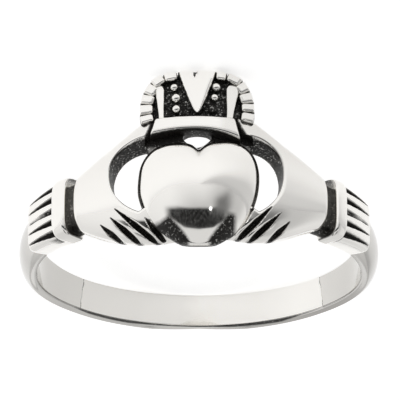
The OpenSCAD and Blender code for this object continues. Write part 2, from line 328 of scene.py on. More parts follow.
def lay_skin(name, along, around, place, merge=0.002):
    """A closed skin from a grid whose rows become rings. place(t, k) gives x, y and z for the share
    along the piece and the number of the point round the ring."""
    bpy.ops.object.select_all(action="DESELECT")
    bpy.ops.mesh.primitive_grid_add(x_subdivisions=along, y_subdivisions=around, size=1)
    obj = bpy.context.object
    obj.name = name
    co = points_of(obj)
    t = co[:, 0] + 0.5
    k = np.rint((co[:, 1] + 0.5) * around).astype(int)
    x, y, z = place(t, k)
    move_points(obj, np.column_stack([x, y, z]))
    close_skin(obj, merge)
    return obj


def add_modifier(obj, kind, **settings):
    """Adds a modifier with its settings and applies it."""
    only(obj)
    bpy.ops.object.modifier_add(type=kind)
    modifier = obj.modifiers[-1]
    for key, value in settings.items():
        setattr(modifier, key, value)
    bpy.ops.object.modifier_apply(modifier=modifier.name)


def cut_away(obj, *cutters):
    """Cuts each cutter out of obj and deletes it."""
    for cutter in cutters:
        add_modifier(obj, "BOOLEAN", operation="DIFFERENCE", solver="EXACT", object=cutter)
        bpy.data.objects.remove(cutter)


def join(name, pieces):
    """One object from several, each still a closed skin."""
    bpy.ops.object.select_all(action="DESELECT")
    for piece in pieces:
        piece.select_set(True)
    bpy.context.view_layer.objects.active = pieces[0]
    bpy.ops.object.join()
    joined = bpy.context.object
    joined.name = name
    return joined


def turn_over(obj):
    """Moves a piece to the other side of the middle line."""
    co = points_of(obj)
    co[:, 0] *= -1
    move_points(obj, co)
    edit(obj, lambda: bpy.ops.mesh.flip_normals())


def stain(obj, name, values):
    """Stores a share from 0 to 1 at each point, for the silver to read."""
    layer = obj.data.attributes.new(name, "FLOAT", "POINT")
    layer.data.foreach_set("value", np.clip(values, 0, 1).astype(np.float32))


# Silver sulphide left in the recesses, and in a few places painted shade and a painted dark reflection
def blacken_and_shade(obj, dark):
    stain(obj, "blackening_and_painted_shade", dark)


# Stores painted shade: how far the silver is darkened towards the shaded colour
def painted_shade(obj, shaded):
    stain(obj, "painted_shade", shaded)


def bend_round_finger(obj):
    """Wraps a flat piece round the finger hole, in metres."""
    x, y, z = points_of(obj).T
    turn = x / ROUND_RADIUS
    r = HOLE_RADIUS + z
    spots = (
        np.outer(r * np.sin(turn), ACROSS)
        + np.outer(y, TO_CROWN)
        + np.outer(r * np.cos(turn), TO_HEART)
    )
    move_points(obj, spots * MM + np.array(HOLE_CENTRE))


def finish(obj, name, angle=32):
    """Bends a piece, names, shades and dresses it, and hands it to the frame."""
    bend_round_finger(obj)
    obj.name = name
    obj.data.name = name
    only(obj)
    bpy.ops.object.shade_smooth_by_angle(angle=math.radians(angle))
    obj.data.materials.clear()
    obj.data.materials.append(bpy.data.materials["sterling silver, polished and blackened, with painted shade"])
    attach(obj, "root")
    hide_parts("claddagh_ring")


# Outlines of the ring


def heart_outline(h):
    wide = h.width / 2
    high = h.lobes
    low = h.lobes - h.long
    mid = mix(low, high, 0.67)
    return both_sides(curve([
        (0, high - h.cleft), (0.12 * wide, high - 0.1 * h.cleft), (0.26 * wide, high), (0.46 * wide, high),
        (0.8 * wide, high), (wide, mix(mid, high, 0.6)), (wide, mid),
        (wide, mix(mid, low, 0.42)), (0.72 * wide, mix(mid, low, 0.82)), (0.3 * wide, mix(mid, low, 0.98)),
        (0.2 * wide, low), (0.1 * wide, low), (0, low),
    ], 40))


def crown_rim(c, steps):
    """The crown's lobed rim, from the fan's edge down to the thumb."""
    wide = c.width / 2
    high = c.top
    low = c.bar
    return curve([
        (0.07 * wide, high - 0.02), (0.3 * wide, high), (0.62 * wide, high - 0.04), (0.76 * wide, high - 0.4),
        (0.94 * wide, high - 0.85), (wide, high - 1.5), (wide, high - 2.1),
        (wide, high - 2.45), (0.99 * wide, low + 0.63), (0.97 * wide, low + 0.41),
    ], steps)


def crown_outline(c):
    wide = c.width / 2
    return both_sides(np.vstack([
        [(0, c.top - 0.25)], crown_rim(c, 16),
        [(0.82 * wide, c.bar + 0.3), (0.76 * wide, c.bar - 0.2)],
        [(0.4 * wide, c.bar + 0.05), (0, c.bar + 0.22)],
    ]))


def side_space(hand, heart, outer):
    """The space between a hand and the heart, as seen from the front, out to a share outer of its width."""
    side = heart.width / 2
    inner = 0.85 * side
    outer = mix(side, side + hand.gap, outer)
    high = 0.663 * hand.thumb
    low = -0.5 * hand.drop
    return np.vstack([curve([
        (inner, high - 0.02), (mix(inner, outer, 0.45), high - 0.06),
        (outer, 0.78 * high), (outer, 0.3 * high), (outer, 0.3 * low),
        (mix(inner, outer, 0.62), 0.78 * low), (0.98 * side, low),
    ], 24), [(0.86 * side, 0.85 * low), (0.75 * side, 0), (0.82 * side, 0.6 * high)]])


def eye_outline(hand, crown):
    high = crown.bar + 0.1
    low = crown.bar - 0.8
    corner = 0.5 * hand.eye
    eye = both_sides(curve([
        (0, high), (0.6 * corner, high - 0.02), (corner, crown.bar), (corner, crown.bar - 0.3),
        (0.8 * corner, crown.bar - 0.5), (0.35 * corner, low), (0, low),
    ], 12))
    return eye + (CROWN_ASIDE, 0)


# Each hand. space: how far the space beside the heart reaches, as a share of its width. shaded: how much
# painted shade darkens the hand at its thumb. edge: the fingers' lower edge, x round the finger and y. The
# rest
# is as seen from the front. thumb: the line where the thumb ends at the crown, x and y. cuts: the cuts
# between the fingers, x and y at the palm and at the tip, as shares of the heart's half width and of the
# fingers' depth
HAND_CARVING = {
    "left": {
        "space": 1.03,
        "shaded": 0.15,
        "edge": [
            (0, -2.75), (1.3, -3.05), (2.6, -3.1), (4.36, -2.9), (5.0, -2.75), (6.0, -2.39), (7.3, -1.82),
        ],
        "thumb": [(3.05, 2.0), (2.95, 2.5), (2.74, 3.05), (2.58, 3.6)],
        "cuts": [
            (0.86, -0.72, 0.61, -1.06),
            (1.36, -0.55, 0.675, -1.16),
            (1.43, -0.71, 0.98, -1.16),
            (1.59, -0.84, 1.25, -1.17),
        ],
    },
    "right": {
        "space": 0.84,
        "shaded": 0.4,
        "edge": [
            (0, -2.7), (1.3, -2.85), (2.75, -2.92), (4.2, -2.83), (5.5, -2.48), (6.3, -2.02), (7.3, -1.7),
        ],
        "thumb": [(2.97, 2.0), (2.65, 2.55), (2.36, 3.05), (2.14, 3.6)],
        "cuts": [
            (0.905, -0.51, 0.52, -0.99),
            (1.18, -0.51, 0.67, -1.06),
            (1.32, -0.63, 0.85, -1.11),
            (1.47, -0.78, 1.14, -1.15),
        ],
    },
}

# The crown's ornament as seen from the front, in shares of the crown's half width, of its height over the
# base bar and of a bead's diameter. rim: the cracks between its lobes, as shares of the way along it.
# beads: x, height, diameter and how far black covers it. petal: x of its inner edge, and of its outer
# edge at the foot and at the top. ends: how far the base bar's end hangs down, in millimetres
CROWN_CARVING = {
    "left": {
        "rim": (0.174, 0.335, 0.493, 0.634, 0.759, 0.894, 1.0),
        "beads": [(0.41, 0.66, 0.92, 0.0), (0.375, 0.41, 1.08, 0.0), (0.37, 0.16, 1.0, 0.1)],
        "petal": (0.57, 0.685, 0.765),
        "ends": 0.21,
    },
    "right": {
        "rim": (0.162, 0.291, 0.472, 0.61, 0.75, 0.866, 1.0),
        "beads": [(0.34, 0.65, 1.08, 0.6), (0.31, 0.42, 0.88, 0.0), (0.27, 0.15, 0.92, 0.9)],
        "petal": (0.50, 0.645, 0.775),
        "ends": 0.50,
    },
}

# How far the crown and the eye under it stand off the heart's middle line
CROWN_ASIDE = -0.09

# How far the foot of a side space's upper wall is drawn in
WALL_TAPER = 0.35


# The way round from the heart to each sizing joint, past the right hand, then at the left one
JOINTS = (0.723 * HALF_ROUND, 1.261 * HALF_ROUND)

# How much painted shade darkens the shank inside and outside, at each way round from the heart in
# millimetres, from the right hand on to the left one. Inside, it steps at each joint
INNER_PAINTED_SHADE = (
    (12, 19, JOINTS[0] - 0.01, JOINTS[0] + 0.01, 25, 28, 31.5, 33, 36,
     JOINTS[1] - 0.01, JOINTS[1] + 0.01, 43.5, 46),
    (0.72, 0.68, 0.45, 0.0, 0.0, 0.2, 0.2, 0.38, 0.52, 0.54, 0.68, 0.72, 0.9),
)
OUTER_PAINTED_SHADE = (
    (11.5, 14, 20, 26, 32, 44, 50, 52.3),
    (0.6, 0.9, 0.95, 0.8, 0.4, 0.6, 0.85, 0.5),
)

# How much painted shade darkens the shank's lower inner edge, at each way round
EDGE_PAINTED_SHADE = (
    (14, 23, 25, 26.5, 29.8, 31, 33, 35, 36.5, 39.5, 41, 50),
    (0.15, 0.2, 0.4, 1.0, 0.8, 0.4, 0.25, 0.45, 0.8, 0.7, 0.25, 0.2),
)

# How much further round each cuff's band starts and how much shorter it is, in millimetres
CUFF_PLACE = {"left": (-0.05, 0.1), "right": (0.2, 0.3)}


def foot_share(z):
    """1 at the hole and 0 at the hands' full height."""
    return np.clip(1 - z / ROUND_HEIGHT, 0, 1)


def prism(name, outline, low, high, taper=0.0, levels=30):
    """A cutter with straight walls as seen from the front: the outline is a front view, so each of its
    heights lies further round the finger than the next. taper draws in the foot of the upper wall."""
    bpy.ops.object.select_all(action="DESELECT")
    bpy.ops.mesh.primitive_circle_add(vertices=len(outline), radius=1, fill_type="NGON")
    obj = bpy.context.object
    obj.name = name
    bpy.ops.object.mode_set(mode="EDIT")
    bpy.ops.mesh.select_all(action="SELECT")
    for _ in range(levels):
        bpy.ops.mesh.extrude_region_move(TRANSFORM_OT_translate={"value": (0, 0, 1)})
    bpy.ops.object.mode_set(mode="OBJECT")
    co = points_of(obj)
    level = np.rint(co[:, 2]) / levels
    turn = np.arctan2(co[:, 1], co[:, 0])
    k = np.rint(turn / (2 * math.pi) * len(outline)).astype(int) % len(outline)
    z = mix(low, high, level)
    x, y = outline[k].T
    foot = foot_share(z)
    y = y - taper * foot * share(0, 1.2, y)
    x = x - np.sign(x) * 0.8 * taper * foot * (np.abs(x) / np.abs(outline[:, 0]).max()) ** 4
    move_points(obj, np.column_stack([round_way(x, z), y, z]))
    edit(obj, lambda: bpy.ops.mesh.normals_make_consistent(inside=False))
    return obj


# The silver


def colour(code):
    """An sRGB hex value as linear red, green, blue and full alpha."""
    parts = [int(code[i:i + 2], 16) / 255 for i in (0, 2, 4)]
    return [c / 12.92 if c <= 0.04045 else ((c + 0.055) / 1.055) ** 2.4 for c in parts] + [1]


def add_node(tree, kind, settings=None, links=None):
    """Adds a node. settings are its own fields or, by name or number, the values of its sockets;
    links are its sockets and what feeds them."""
    node = tree.nodes.new(kind)
    for key, value in (settings or {}).items():
        if isinstance(key, int) or key in node.inputs:
            node.inputs[key].default_value = value
        else:
            setattr(node, key, value)
    for key, source in (links or {}).items():
        tree.links.new(source, node.inputs[key])
    return node


def polished_silver(finish):
    """Sterling silver, cast, polished bright on a wheel and blackened in its recesses.

    The polish gives clear reflections with a hair-fine haze; the black is silver sulphide
    that the wheel couldn't reach, matt and broken up where it has rubbed through. In a few places the
    same black is painted shade and a painted dark reflection, and a second silver colour paints shade."""
    material = bpy.data.materials.new("sterling silver, polished and blackened, with painted shade")
    material.use_nodes = True
    tree = material.node_tree
    tree.nodes.clear()
    place = add_node(tree, "ShaderNodeTexCoord").outputs["Object"]
    dark = add_node(tree, "ShaderNodeAttribute", {"attribute_name": "blackening_and_painted_shade"}).outputs["Fac"]

    # Rubbed through in grains of about 0.1 mm, the grit of the last wheel
    grain = add_node(
        tree, "ShaderNodeTexNoise", {"Scale": 1 / (0.11 * MM), "Detail": 3, "Roughness": 0.6},
        {"Vector": place},
    )
    rubbed = add_node(
        tree, "ShaderNodeMapRange", {"From Min": 0.56, "From Max": 0.70, "To Min": 0.0, "To Max": 0.85},
        {"Value": grain.outputs["Fac"]},
    )
    worn = add_node(
        tree, "ShaderNodeMath", {"operation": "MULTIPLY_ADD", 1: -0.6, 2: 1.0},
        {0: rubbed.outputs["Result"]},
    )
    black = add_node(
        tree, "ShaderNodeMath", {"operation": "MULTIPLY", "use_clamp": True},
        {0: dark, 1: worn.outputs[0]},
    )

    # Faint wheel haze, drawn about 0.6 mm across so that it shows
    haze = add_node(tree, "ShaderNodeTexNoise", {"Scale": 1 / (0.6 * MM), "Detail": 2}, {"Vector": place})
    shine = add_node(
        tree, "ShaderNodeMapRange", {"From Min": 0.3, "From Max": 0.7, "To Min": 0.07, "To Max": 0.12},
        {"Value": haze.outputs["Fac"]},
    )
    pits = add_node(
        tree, "ShaderNodeBump", {"Strength": 0.5, "Distance": 0.03 * MM}, {"Height": grain.outputs["Fac"]}
    )

    # Painted shade, stored at the points, darkens the polished silver
    shade_share = add_node(tree, "ShaderNodeAttribute", {"attribute_name": "painted_shade"}).outputs["Fac"]
    metal = add_node(
        tree, "ShaderNodeMix", {"data_type": "RGBA", 6: colour(finish.silver), 7: colour(finish.shaded)},
        {0: shade_share},
    )
    bright = add_node(
        tree, "ShaderNodeBsdfPrincipled", {"Metallic": 1.0},
        {"Base Color": metal.outputs[2], "Roughness": shine.outputs["Result"]},
    )
    # The black: sulphide in the recesses, and in a few places painted shade and a painted dark reflection
    sulphide = add_node(
        tree, "ShaderNodeBsdfPrincipled",
        {"Base Color": colour(finish.black), "Metallic": 0.0, "Roughness": 0.5, "Specular IOR Level": 0.25},
        {"Normal": pits.outputs["Normal"]},
    )
    both = add_node(
        tree, "ShaderNodeMixShader", None,
        {0: black.outputs[0], 1: bright.outputs[0], 2: sulphide.outputs[0]},
    )
    add_node(tree, "ShaderNodeOutputMaterial", None, {"Surface": both.outputs[0]})


# The parts of the light tent's wall, as the lens sees them. Each has a name, then its azimuth to the
# picture's left and its angle up in the picture, both as middle, half size and soft edge in degrees. Then
# come how bright it is, or None for the dark room beyond, how much wider its top is in degrees, and how
# steeply its ends turn up
TENT_WALL = [
    ("right wall", (-120, 60, 40), (0, 100, 10), 0.86, 0, 0),
    ("grey back", (0, 185, 1), (-85, 40, 20), 0.74, 0, 0),
    ("grey front", (-24, 52, 50), (-20, 47, 46), 0.55, 0, 0),
    ("grey right", (-48, 27, 30), (2, 30, 30), 0.58, 0, 0),
    ("grey edge", (-80, 18, 30), (22, 12, 26), 0.62, 0, 0),
    ("dark opening", (2, 50, 16), (0, 13.5, 5), None, 0, -0.06),
    ("dark table", (0, 43, 12), (-62, 52, 8), None, 0, 0),
    ("black edge", (-42, 13, 20), (15, 8, 12), 0.2, 0, 0),
    ("strip light", (0, 20, 3), (-56, 41, 3), 0.78, 30, 0.3),
]


def light_tent(name):
    """The world as a light tent: pale walls with grey parts, dark openings and a strip light."""
    tent = bpy.data.worlds.new(name)
    tent.use_nodes = True
    tree = tent.node_tree
    tree.nodes.clear()
    way = add_node(tree, "ShaderNodeTexCoord").outputs["Generated"]
    lens_frame = Matrix((-ACROSS, TO_LENS, PICTURE_UP)).to_euler()
    turned = add_node(tree, "ShaderNodeMapping", {"Rotation": lens_frame}, {"Vector": way})
    part = add_node(tree, "ShaderNodeSeparateXYZ", None, {0: turned.outputs[0]})
    aside = add_node(
        tree, "ShaderNodeMath", {"operation": "ARCTAN2"}, {0: part.outputs["X"], 1: part.outputs["Y"]}
    )
    rise = add_node(tree, "ShaderNodeMath", {"operation": "ARCSINE"}, {0: part.outputs["Z"]})
    base = add_node(
        tree, "ShaderNodeMapRange",
        {"From Min": math.radians(-30), "From Max": math.radians(25), "To Min": 0.86, "To Max": 1.0},
        {"Value": rise.outputs[0]},
    )
    level = base.outputs["Result"]

    # The room beyond the openings is dark, with small pale spots
    angles = add_node(tree, "ShaderNodeCombineXYZ", None, {0: aside.outputs[0], 1: rise.outputs[0]})
    spots = add_node(
        tree, "ShaderNodeTexNoise", {"Scale": 15.0, "Detail": 5, "Roughness": 0.75},
        {"Vector": angles.outputs[0]},
    )
    room = add_node(
        tree, "ShaderNodeMapRange", {"From Min": 0.48, "From Max": 0.78, "To Min": 0.012, "To Max": 0.2},
        {"Value": spots.outputs["Fac"]},
    )

    for label, across, up, bright, flare, lift in TENT_WALL:
        within = None
        middle, half, _ = up
        flared = add_node(
            tree, "ShaderNodeMapRange",
            {"interpolation_type": "SMOOTHSTEP", "From Min": math.radians(middle + 0.45 * half),
             "From Max": math.radians(middle + half), "To Min": 0.0, "To Max": math.radians(flare)},
            {"Value": rise.outputs[0]},
        )
        turned_up = add_node(tree, "ShaderNodeMath", {"operation": "ABSOLUTE"}, {0: aside.outputs[0]})
        turned_up = add_node(
            tree, "ShaderNodeMath", {"operation": "MULTIPLY_ADD", 1: -lift},
            {0: turned_up.outputs[0], 2: rise.outputs[0]},
        )
        for angle, (middle, half, soft) in ((aside, across), (turned_up, up)):
            off = add_node(
                tree, "ShaderNodeMath", {"operation": "SUBTRACT", 1: math.radians(middle)},
                {0: angle.outputs[0]},
            )
            off = add_node(tree, "ShaderNodeMath", {"operation": "ABSOLUTE"}, {0: off.outputs[0]})
            if angle is aside:
                off = add_node(
                    tree, "ShaderNodeMath", {"operation": "SUBTRACT"},
                    {0: off.outputs[0], 1: flared.outputs["Result"]},
                )
            edge = add_node(
                tree, "ShaderNodeMapRange",
                {"interpolation_type": "SMOOTHSTEP", "From Min": math.radians(half + soft / 2),
                 "From Max": math.radians(half - soft / 2), "To Min": 0.0, "To Max": 1.0},
                {"Value": off.outputs[0]},
            )
            if within is None:
                within = edge.outputs["Result"]
            else:
                both = add_node(
                    tree, "ShaderNodeMath", {"operation": "MULTIPLY"},
                    {0: within, 1: edge.outputs["Result"]},
                )
                within = both.outputs[0]
        settings = {"label": label}
        links = {"Factor": within, "A": level}
        if bright is None:
            links["B"] = room.outputs["Result"]
        else:
            settings["B"] = bright
        mixed = add_node(tree, "ShaderNodeMix", settings, links)
        level = mixed.outputs["Result"]

    shade = add_node(tree, "ShaderNodeBackground", None, {"Color": level})
    add_node(tree, "ShaderNodeOutputWorld", None, {"Surface": shade.outputs[0]})
    return tent


# Operators


class RING_OT_camera(bpy.types.Operator):
    """Places the camera at the photograph's angle to the ring: 22 degrees below the heart's face"""

    bl_idname = "ring.camera"
    bl_label = "Camera"

    def execute(self, context):
        aim = HOLE_CENTRE + PICTURE_UP * AIM_UP * MM + ACROSS * AIM_ASIDE * MM
        spot = HOLE_CENTRE + TO_LENS * LENS_AWAY * MM
        back = (spot - aim).normalized()
        side = PICTURE_UP.cross(back).normalized()
        bpy.ops.object.camera_add(location=spot)
        camera = context.object
        camera.name = "camera"
        turn = Matrix((side, back.cross(side), back)).transposed().to_4x4()
        camera.matrix_world = Matrix.Translation(spot) @ turn
        camera.data.sensor_width = 36
        camera.data.lens = FOCAL_LENGTH
        camera.data.clip_start = 0.01
        context.scene.camera = camera
        return {"FINISHED"}


class RING_OT_material(bpy.types.Operator):
    """Makes the polished and blackened silver, with its painted shade"""

    bl_idname = "ring.material"
    bl_label = "Silver"

    def execute(self, context):
        polished_silver(context.scene.ring_finish)
        return {"FINISHED"}


class RING_OT_shank(bpy.types.Operator):
    """Models the half-round shank, with the fine line of a sizing joint on each side"""

    bl_idname = "ring.shank"
    bl_label = "Shank"

    def execute(self, context):
        k = in_mm(context.scene.ring_cuffs)
        end = k.start + k.band_long + k.sleeve_long
        first = end - 0.35
        fine = [j + d for j in JOINTS for d in np.linspace(-0.3, 0.3, 41)]
        stations = np.sort(np.concatenate([np.linspace(first, 2 * HALF_ROUND - first, 220), fine]))
        around = 110
        across, foot, arch = section(1.0, 0.0, k.shank_thick, around, 2.0, 12.0, 0.12)

        def span(x):
            """The shank's half width and the y of its middle line."""
            t = share(end, HALF_ROUND, np.minimum(x, 2 * HALF_ROUND - x))
            half = mix(k.shoulder, k.shank_wide, ease(np.minimum(1, 1.6 * t))) / 2
            return half, -k.drop * (1 - ease(t))

        def square_on(x, y):
            """The way round that a place would have if the slanted, slightly wavy joints were straight."""
            return np.where(x < HALF_ROUND, x, 2 * HALF_ROUND - x) - 0.18 * y + 0.025 * np.sin(9 * y)

        def past_joint(x, y):
            """How far past its joint a place lies, towards the back of the finger."""
            joint = np.where(x < HALF_ROUND, JOINTS[0], 2 * HALF_ROUND - JOINTS[1])
            return square_on(x, y) - joint

        def place(t, n):
            x = stations[np.rint(t * (len(stations) - 1)).astype(int)]
            near = np.minimum(x, 2 * HALF_ROUND - x)
            half, middle = span(x)
            # It swells over its inner edges, but not where it lies on the floor
            swell = np.where(across[n] < 0, share(HALF_ROUND + 1, HALF_ROUND - 3, near),
                             share(HALF_ROUND - 1, HALF_ROUND - 6, near))
            swell = swell * mix(0.25, 1, ease(share(end, end + 7, near)))
            half = half * (1 + 0.2 * swell * ease(share(0, 0.35, arch[n])))
            y = middle + half * across[n]
            z = mix(mix(0.12, 0.0, foot[n]), k.shank_thick, arch[n])
            return x, y, z + 0.02 * share(0.05, 0.0, np.abs(past_joint(x, y))) * (z < 0.1)

        shank = lay_skin("shank", len(stations) - 1, around, place)
        x, y, z = points_of(shank).T
        half, middle = span(x)
        edge = (y - middle) / half
        broken = 0.5 + 0.5 * np.sin(31 * y + 4 * np.sin(7 * y))
        past = past_joint(x, y)
        line = share(0.05, 0.01, np.abs(past)) * (z < 0.1) * mix(0.2, 0.85, broken)
        # Painted shade darkens the lower inner edge
        edge_shade = np.interp(x, *EDGE_PAINTED_SHADE)
        high = 0.2 * edge_shade
        rim = share(-0.93, -0.975, edge) * share(high + 0.05, high + 0.01, z) * share(0, 0.5, edge_shade)
        blacken_and_shade(shank, np.maximum(line, rim))
        # Painted shade round the shank, inside and outside, from the tables
        even = np.where(x < HALF_ROUND, square_on(x, y), 2 * HALF_ROUND - square_on(x, y))
        painted_shade(shank, np.where(z < 0.15, np.interp(even, *INNER_PAINTED_SHADE), np.interp(x, *OUTER_PAINTED_SHADE)))
        finish(shank, "shank")
        return {"FINISHED"}


class RING_OT_cuffs(bpy.types.Operator):
    """Models each cuff, with its groove, raised band and fluted sleeve"""

    bl_idname = "ring.cuffs"
    bl_label = "Cuffs"

    def execute(self, context):
        for side in ("left", "right"):
            self.cuff(context, side)
        return {"FINISHED"}

    def cuff(self, context, which):
        k = in_mm(context.scene.ring_cuffs)
        hand = in_mm(context.scene.ring_hands)
        sleeve_end = k.start + k.band_long + k.sleeve_long
        k.start += CUFF_PLACE[which][0]
        k.band_long -= CUFF_PLACE[which][1]
        band_end = k.start + k.band_long
        neck_across, neck_foot, neck_arch = section(1.4, 0.0, 0.9, 60, 3.0)

        def neck_place(t, n):
            x = mix(k.start - k.gap - 0.5, band_end, t)
            y = -k.drop + 0.46 * hand.wrist * neck_across[n]
            z = mix(mix(0.3, 0.02, neck_foot[n]), k.shank_thick - 0.04, neck_arch[n])
            return x, y, z

        neck = lay_skin("neck", 12, 60, neck_place)
        _, y, z = points_of(neck).T
        blacken_and_shade(neck, mix(0.92, 1, share(0.3, 0.4, np.abs(y + k.drop) / hand.wrist)) * (z > 0.1))

        band_across, band_foot, band_arch = section(1.6, 0.0, 1.6, 120, 4.5)

        def band_place(t, n):
            swell = np.sin(math.pi * t) ** (2 / 3.2)
            way = np.cos(math.pi * t)
            x = k.start + k.band_long * (1 - np.sign(way) * np.abs(way) ** (2 / 3.2)) / 2
            half = mix(0.93, 1, swell) * k.band_wide / 2
            top = mix(k.band_thick - 0.28, k.band_thick, swell)
            z = mix(mix(0.27, 0.01, band_foot[n]), top, band_arch[n])
            return x, -k.drop + half * band_across[n], z

        band = lay_skin("band", 56, 120, band_place)
        co = points_of(band)
        ends = np.minimum(co[:, 0] - k.start, band_end - co[:, 0])
        blacken_and_shade(band, 0.9 * share(0.05, 0.0, ends) * share(1.45, 1.1, co[:, 2]) * (co[:, 2] > 0.1))

        sleeve_across, sleeve_foot, sleeve_arch = section(1.5, 0.0, 1.3, 260, 6.0)
        sleeve_start = band_end - 0.15
        flutes = 5

        def sleeve_half(t):
            return mix(0.97 * k.band_wide, k.sleeve_wide, t) / 2

        def flute_nearness(across, t):
            """For each flute, 1 on its middle line and 0 from its sides on."""
            wide = mix(k.flute_wide + 0.12, 0.06, t) / 2
            for i in range(flutes):
                centre = 0.8 * (2 * i / (flutes - 1) - 1)
                yield np.clip(1 - np.abs(across - centre) * sleeve_half(t) / wide, 0, 1)

        def sleeve_place(t, n):
            x = mix(sleeve_start, sleeve_end, t)
            half = sleeve_half(t)
            across = sleeve_across[n]
            top = k.sleeve_thick - 0.12 * ease(share(0.93, 1, t))
            z = mix(mix(0.3, 0.015, sleeve_foot[n]), top, sleeve_arch[n])
            for near in flute_nearness(across, t):
                z = z - mix(k.flute_deep, 0.05, t) * ease(near) * (sleeve_arch[n] > 0.3)
            return x, -k.drop + half * across, z

        sleeve = lay_skin("sleeve", 90, 260, sleeve_place)
        co = points_of(sleeve)
        t = share(sleeve_start, sleeve_end, co[:, 0])
        across = (co[:, 1] + k.drop) / sleeve_half(t)
        dark = np.zeros(len(co))
        for near in flute_nearness(across, t):
            dark = np.maximum(dark, share(0.08, 0.35, near) * share(1.0, 0.85, t))
        dark = np.maximum(dark, share(band_end + 0.09, band_end + 0.02, co[:, 0]))
        if which == "left":
            # Painted shade in the corner under its band
            corner = share(band_end + 0.8, band_end + 0.2, co[:, 0]) * share(-0.95, -0.98, across)
            dark = np.maximum(dark, 0.8 * corner * share(1.15, 1.0, co[:, 2]))
        blacken_and_shade(sleeve, dark * (co[:, 2] > 0.5))

        cuff = join("cuff_" + which, [band, neck, sleeve])
        if which == "left":
            turn_over(cuff)
        finish(cuff, "cuff_" + which)


class RING_OT_hands(bpy.types.Operator):
    """Models each hand, with its thumb, its fingers and the space beside the heart"""

    bl_idname = "ring.hands"
    bl_label = "Hands"

    def execute(self, context):
        for side in ("left", "right"):
            self.hand(context, side)
        return {"FINISHED"}

    def hand(self, context, which):
        """One hand, modelled on the right side and turned over for the left one."""
        hand = in_mm(context.scene.ring_hands)
        cuff = in_mm(context.scene.ring_cuffs)
        crown = in_mm(context.scene.ring_crown)
        heart = in_mm(context.scene.ring_heart)
        carving = HAND_CARVING[which]
        side = heart.width / 2
        wrist = cuff.start + CUFF_PLACE[which][0] - cuff.gap
        thumb = 0.95 * (crown.width / 2 - 0.15)
        around = 300
        across, foot, arch = section(3.1, 0.0, 1.5, around, 2.8, foot_weight=0.3)
        space = side_space(hand, heart, carving["space"])
        thumb_end = np.array(carving["thumb"])
        edge = np.polyfit(*np.transpose(carving["edge"]), 4)

        def edges(x):
            high = mix(-cuff.drop + hand.wrist / 2, hand.thumb, share(wrist, thumb, x))
            return np.polyval(edge, x), high

        def squareness(x, y):
            """Squarer than an arch towards the thumb's end."""
            return mix(1, 0.55, share(5.0, 3.2, x) * share(0.8, 2.6, y))

        def bare(x, y):
            """The height of the arched top before it is carved."""
            low, high = edges(x)
            s = np.clip(np.abs(2 * y - low - high) / (high - low), 0, 1)
            return mix(0.3, hand.thick, (1 - s ** 2.8) ** (squareness(x, y) / 2.8))

        def surface(x, y, z):
            """Lowers the arched top where the lip, the thumb's end and the finger cuts are, and says how
            black each place is."""
            front = (HOLE_RADIUS + z) * np.sin(x / ROUND_RADIUS)
            lip = depth_inside(front, y, space)
            q = np.clip(1 + lip / 0.2, 0, 1)
            z = z - 0.17 * (1 - np.sqrt(1 - q * q))
            dark = share(-0.02, 0.03, lip)
            beyond = np.interp(y, thumb_end[:, 1], thumb_end[:, 0]) - front
            q = share(0.0, 0.26, beyond) * share(crown.bar - 1.05, crown.bar - 0.8, y)
            z = np.where(q > 0, mix(z, np.minimum(z, 0.85), 1 - np.sqrt(1 - q * q)), z)
            dark = np.maximum(dark, share(0.15, 0.5, q))
            # The cuts are straight as the camera sees them
            front = (HOLE_RADIUS + bare(x, y)) * np.sin(x / ROUND_RADIUS)
            up = (HOLE_RADIUS + bare(x, y)) * np.cos(x / ROUND_RADIUS) - HOLE_RADIUS - hand.thick
            seen = y + math.tan(LENS_DROP) * up
            for palm_x, palm_y, tip_x, tip_y in carving["cuts"]:
                palm = np.array([palm_x * side, palm_y * hand.drop])
                tip = np.array([tip_x * side, tip_y * hand.drop])
                d, t = off_path(front, seen, np.array([palm, tip + 0.15 * (tip - palm)]))
                t = np.minimum(1, t * 1.15)
                grow = np.minimum(1, 2.2 * t)
                wide = mix(0.08, hand.cut_wide, grow) / 2
                near = np.clip(1 - d / wide, 0, 1)
                z = z - mix(0.08, hand.cut_deep, grow) * ease(near)
                # The graver left a fine bright ridge on each side
                ridge = 0.7 * share(0.03, 0.01, np.abs(d - 0.11)) * share(0.1, 0.3, t)
                rough = 0.95 + 0.05 * np.sin(67 * t + 5 * np.sin(23 * t))
                dark = np.maximum(dark, share(0.2, 0.45, near) * (1 - ridge) * rough)
            return z, dark

        def place(t, n):
            x = mix(0, wrist, t)
            low, high = edges(x)
            y = (low + high) / 2 + (high - low) / 2 * across[n]
            end = share(wrist - 0.3, wrist, x)
            top = mix(0.3, hand.thick - 0.25 * (1 - np.sqrt(1 - end * end)), arch[n] ** squareness(x, y))
            carved, _ = surface(x, y, top)
            above = np.maximum(mix(top, carved, share(0, 0.35, arch[n])), 0.3)
            z = np.where(arch[n] > 0, above, mix(0.3, 0, foot[n]))
            return x, y, z

        name = "hand_" + which
        skin = lay_skin(name, 200, around, place)
        reach = 0.95 * side
        t = np.linspace(-1, 1, 25)
        over_lobes = np.vstack([
            np.column_stack([t * reach, np.full_like(t, 0.5 * heart.lobes)]),
            np.column_stack([-t * reach, crown.bar - 0.45 * t * t + 0.1]),
        ])
        cut_away(
            skin,
            prism("side space", space, -1.0, 3.0, taper=WALL_TAPER),
            prism("lobe space", over_lobes, hand.web, 3.0),
            prism("eye", eye_outline(hand, crown) * (-1 if which == "left" else 1, 1), -1.0, 3.0),
        )
        co = points_of(skin)
        front = (HOLE_RADIUS + co[:, 2]) * np.sin(co[:, 0] / ROUND_RADIUS)
        _, dark = surface(co[:, 0], co[:, 1], co[:, 2])
        drawn_in = WALL_TAPER * foot_share(co[:, 2]) * share(0, 1.2, co[:, 1])
        wall = share(-0.07, -0.03, depth_inside(front, co[:, 1] + drawn_in, space))
        wall *= share(1.45, 1.3, co[:, 2])
